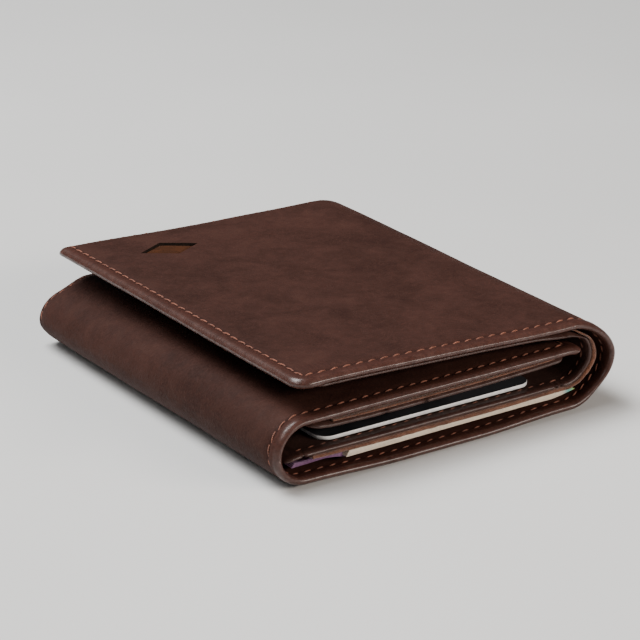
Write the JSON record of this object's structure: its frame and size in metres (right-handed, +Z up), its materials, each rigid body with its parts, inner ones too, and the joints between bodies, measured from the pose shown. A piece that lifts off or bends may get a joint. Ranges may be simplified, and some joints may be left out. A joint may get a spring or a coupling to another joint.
{
  "type": "trifold wallet",
  "caption": "Leather trifold wallet folded shut, with an outer flap that unrolls about the right fold, an inner flap, a note compartment, card slots, a card and banknotes.",
  "frame": {"origin": "middle of the face that the closed wallet lies on, the outer face of the centre panel", "axes": "+X from the left fold to the right fold, +Y along the folds from the mouth end to the closed end, +Z up from the centre panel to the outer flap"},
  "size_m": [0.086, 0.1, 0.0221],
  "materials": {
    "shell_leather": "waxed, lightly rubbed",
    "inner_leather": "semi-matt",
    "tan_suede": "matt suede",
    "thread": "waxed thread",
    "card_plastic": "laminated",
    "cream_paper": "matt",
    "purple_paper": "matt"
  },
  "bodies": {
    "center": {"center_shell": "shell_leather", "left_spine_shell": "shell_leather", "center_lining": "tan_suede", "center_panel": "inner_leather", "left_spine_band": "inner_leather", "center_slot_1": "inner_leather", "center_slot_2": "inner_leather", "center_slot_3": "inner_leather", "center_stitching": "thread", "spine_band_1": "inner_leather"},
    "right_fold_strip_1": {"right_spine_shell_1": "shell_leather", "spine_band_2": "inner_leather"},
    "right_fold_strip_2": {"right_spine_shell_2": "shell_leather", "spine_band_3": "inner_leather"},
    "right_fold_strip_3": {"right_spine_shell_3": "shell_leather", "spine_band_4": "inner_leather"},
    "outer_flap": {"outer_flap_shell": "shell_leather", "outer_flap_lining": "tan_suede", "outer_flap_panel": "inner_leather", "outer_flap_slot_1": "inner_leather", "outer_flap_slot_2": "inner_leather", "outer_flap_slot_3": "inner_leather", "emblem_inlay": "tan_suede", "outer_flap_stitching": "thread", "spine_band_5": "inner_leather"},
    "inner_flap": {"inner_flap_shell": "shell_leather", "inner_flap_lining": "tan_suede", "inner_flap_panel": "inner_leather", "inner_flap_slot_1": "inner_leather", "inner_flap_slot_2": "inner_leather", "inner_flap_stitching": "thread"},
    "card": {"card": "card_plastic"},
    "note_cream": {"note_cream": "cream_paper"},
    "note_purple": {"note_purple": "purple_paper"}
  },
  "joints": [
    {"name": "right_fold_open", "type": "hinge", "parent": "center", "child": "right_fold_strip_1", "pos_m": [0.03621, 0, 0.00084], "axis": [0, 1, 0], "range_deg": [0, 45]},
    {"name": "right_fold_line_2", "type": "hinge", "parent": "right_fold_strip_1", "child": "right_fold_strip_2", "pos_m": [0.04216, 0, 0.00679], "axis": [0, 1, 0], "range_deg": [0, 45]},
    {"name": "right_fold_line_3", "type": "hinge", "parent": "right_fold_strip_2", "child": "right_fold_strip_3", "pos_m": [0.04216, 0, 0.01521], "axis": [0, 1, 0], "range_deg": [0, 45]},
    {"name": "right_fold_line_4", "type": "hinge", "parent": "right_fold_strip_3", "child": "outer_flap", "pos_m": [0.03621, 0, 0.02116], "axis": [0, 1, 0], "range_deg": [0, 45]},
    {"name": "inner_flap_lift", "type": "hinge", "parent": "center", "child": "inner_flap", "pos_m": [-0.0354, 0, 0.0152], "axis": [0, -1, 0], "range_deg": [0, 1.2]},
    {"name": "card_slide", "type": "slide", "parent": "center", "child": "card", "axis": [0, -1, 0], "range_m": [0, 0.08]},
    {"name": "note_cream_slide", "type": "slide", "parent": "center", "child": "note_cream", "axis": [0, -1, 0], "range_m": [0, 0.06]},
    {"name": "note_purple_slide", "type": "slide", "parent": "center", "child": "note_purple", "axis": [0, -1, 0], "range_m": [0, 0.06]}
  ],
  "couplings": [
    {"joint": "right_fold_line_2", "follows": "right_fold_open", "ratio": 1},
    {"joint": "right_fold_line_3", "follows": "right_fold_open", "ratio": 1},
    {"joint": "right_fold_line_4", "follows": "right_fold_open", "ratio": 1}
  ]
}
